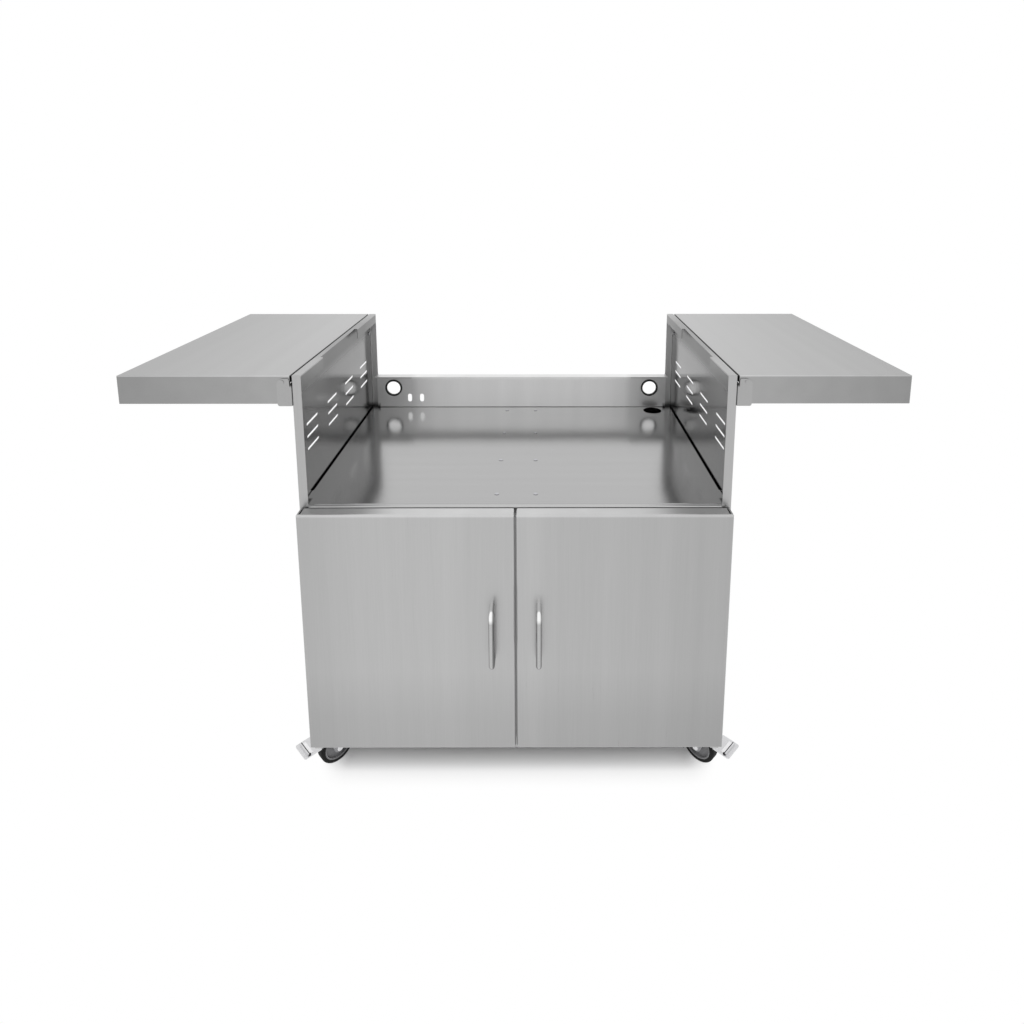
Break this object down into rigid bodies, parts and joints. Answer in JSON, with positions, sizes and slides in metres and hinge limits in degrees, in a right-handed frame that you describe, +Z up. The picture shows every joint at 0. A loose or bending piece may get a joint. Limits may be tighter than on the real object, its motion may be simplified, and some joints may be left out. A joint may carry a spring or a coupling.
{
  "type": "grill cart",
  "caption": "Folded-steel grill cart with a slotted open bay over a double-door cabinet, fold-down side shelves and swivel casters.",
  "frame": {"origin": "under the middle of the cart, on the floor", "axes": "+X to the right as seen from the front, +Y from the doors towards the rear, +Z up"},
  "size_m": [1.466, 0.6382, 0.886],
  "materials": {
    "panel_steel": "brushed, smooth",
    "deck_steel": "brushed, smooth",
    "door_steel": "brushed, smooth",
    "shelf_steel": "brushed, smooth",
    "bracket_steel": "plain pressed sheet",
    "inner_steel": "plain mill finish",
    "handle_steel": "polished bar",
    "pedal_steel": "bright zinc plated",
    "caster_zinc": "bright zinc plated",
    "fixing_zinc": "bright zinc plated",
    "hub_plastic": "moulded",
    "catch_plastic": "moulded",
    "grommet_rubber": "moulded",
    "tyre": "moulded"
  },
  "bodies": {
    "cart": {"side_panel_left": "panel_steel", "side_panel_right": "panel_steel", "front_rail": "deck_steel", "deck": "deck_steel", "deck_stiffener": "inner_steel", "deck_screws": "fixing_zinc", "back_rail": "deck_steel", "back_panel": "inner_steel", "bottom_pan": "inner_steel", "base_rail_left": "inner_steel", "base_rail_right": "inner_steel", "hose_grommets": "grommet_rubber", "shelf_brackets_left": "bracket_steel", "shelf_brackets_right": "bracket_steel", "bracket_screws": "fixing_zinc", "shelf_pivot_pins": "fixing_zinc", "shelf_lock_pins": "fixing_zinc", "hinge_brackets": "fixing_zinc", "hinge_pins": "fixing_zinc", "magnet_catches": "catch_plastic", "caster_bolts": "caster_zinc", "caster_plate_front_left": "caster_zinc", "caster_plate_front_right": "caster_zinc", "caster_plate_rear_left": "caster_zinc", "caster_plate_rear_right": "caster_zinc"},
    "left_door": {"door_left": "door_steel", "door_stiffener_left": "inner_steel", "hinge_plates_left": "inner_steel", "handle_left": "handle_steel", "handle_screws_left": "fixing_zinc", "magnet_strike_left": "fixing_zinc"},
    "left_shelf": {"shelf_left": "shelf_steel", "shelf_stiffener_left": "inner_steel"},
    "right_door": {"door_right": "door_steel", "door_stiffener_right": "inner_steel", "hinge_plates_right": "inner_steel", "handle_right": "handle_steel", "handle_screws_right": "fixing_zinc", "magnet_strike_right": "fixing_zinc"},
    "right_shelf": {"shelf_right": "shelf_steel", "shelf_stiffener_right": "inner_steel"},
    "front_left_caster": {"caster_fork_front_left": "caster_zinc", "caster_axle_front_left": "caster_zinc"},
    "front_left_wheel": {"wheel_hub_front_left": "hub_plastic", "tyre_front_left": "tyre"},
    "front_right_caster": {"caster_fork_front_right": "caster_zinc", "caster_axle_front_right": "caster_zinc"},
    "front_right_wheel": {"wheel_hub_front_right": "hub_plastic", "tyre_front_right": "tyre"},
    "rear_left_caster": {"caster_fork_rear_left": "caster_zinc", "caster_axle_rear_left": "caster_zinc"},
    "rear_left_wheel": {"wheel_hub_rear_left": "hub_plastic", "tyre_rear_left": "tyre"},
    "rear_right_caster": {"caster_fork_rear_right": "caster_zinc", "caster_axle_rear_right": "caster_zinc"},
    "rear_right_wheel": {"wheel_hub_rear_right": "hub_plastic", "tyre_rear_right": "tyre"},
    "left_pedal": {"brake_pedal_left": "pedal_steel"},
    "right_pedal": {"brake_pedal_right": "pedal_steel"}
  },
  "joints": [
    {"name": "left_door_hinge", "type": "hinge", "parent": "cart", "child": "left_door", "pos_m": [-0.399, -0.27505, 0.3772], "axis": [0, 0, -1], "range_deg": [0, 105]},
    {"name": "right_door_hinge", "type": "hinge", "parent": "cart", "child": "right_door", "pos_m": [0.399, -0.27505, 0.3772], "axis": [0, 0, 1], "range_deg": [0, 105]},
    {"name": "left_shelf_fold", "type": "hinge", "parent": "cart", "child": "left_shelf", "pos_m": [-0.4294, 0.03095, 0.848], "axis": [0, -1, 0], "range_deg": [0, 90]},
    {"name": "right_shelf_fold", "type": "hinge", "parent": "cart", "child": "right_shelf", "pos_m": [0.4294, 0.03095, 0.848], "axis": [0, 1, 0], "range_deg": [0, 90]},
    {"name": "front_left_swivel", "type": "hinge", "parent": "cart", "child": "front_left_caster", "pos_m": [-0.379, -0.15955, 0.0902], "axis": [0, 0, 1], "continuous": true},
    {"name": "front_right_swivel", "type": "hinge", "parent": "cart", "child": "front_right_caster", "pos_m": [0.379, -0.15955, 0.0902], "axis": [0, 0, 1], "continuous": true},
    {"name": "rear_left_swivel", "type": "hinge", "parent": "cart", "child": "rear_left_caster", "pos_m": [-0.379, 0.22145, 0.0902], "axis": [0, 0, 1], "continuous": true},
    {"name": "rear_right_swivel", "type": "hinge", "parent": "cart", "child": "rear_right_caster", "pos_m": [0.379, 0.22145, 0.0902], "axis": [0, 0, 1], "continuous": true},
    {"name": "front_left_wheel_spin", "type": "hinge", "parent": "front_left_caster", "child": "front_left_wheel", "pos_m": [-0.39526, -0.17581, 0.038], "axis": [0.7071, -0.7071, 0], "continuous": true},
    {"name": "front_right_wheel_spin", "type": "hinge", "parent": "front_right_caster", "child": "front_right_wheel", "pos_m": [0.39526, -0.17581, 0.038], "axis": [0.7071, 0.7071, 0], "continuous": true},
    {"name": "rear_left_wheel_spin", "type": "hinge", "parent": "rear_left_caster", "child": "rear_left_wheel", "pos_m": [-0.379, 0.24445, 0.038], "axis": [1, 0, 0], "continuous": true},
    {"name": "rear_right_wheel_spin", "type": "hinge", "parent": "rear_right_caster", "child": "rear_right_wheel", "pos_m": [0.379, 0.24445, 0.038], "axis": [1, 0, 0], "continuous": true},
    {"name": "left_brake", "type": "hinge", "parent": "front_left_caster", "child": "left_pedal", "pos_m": [-0.40941, -0.18996, 0.08], "axis": [0.7071, -0.7071, 0], "range_deg": [0, 22]},
    {"name": "right_brake", "type": "hinge", "parent": "front_right_caster", "child": "right_pedal", "pos_m": [0.40941, -0.18996, 0.08], "axis": [0.7071, 0.7071, 0], "range_deg": [0, 22]}
  ]
}
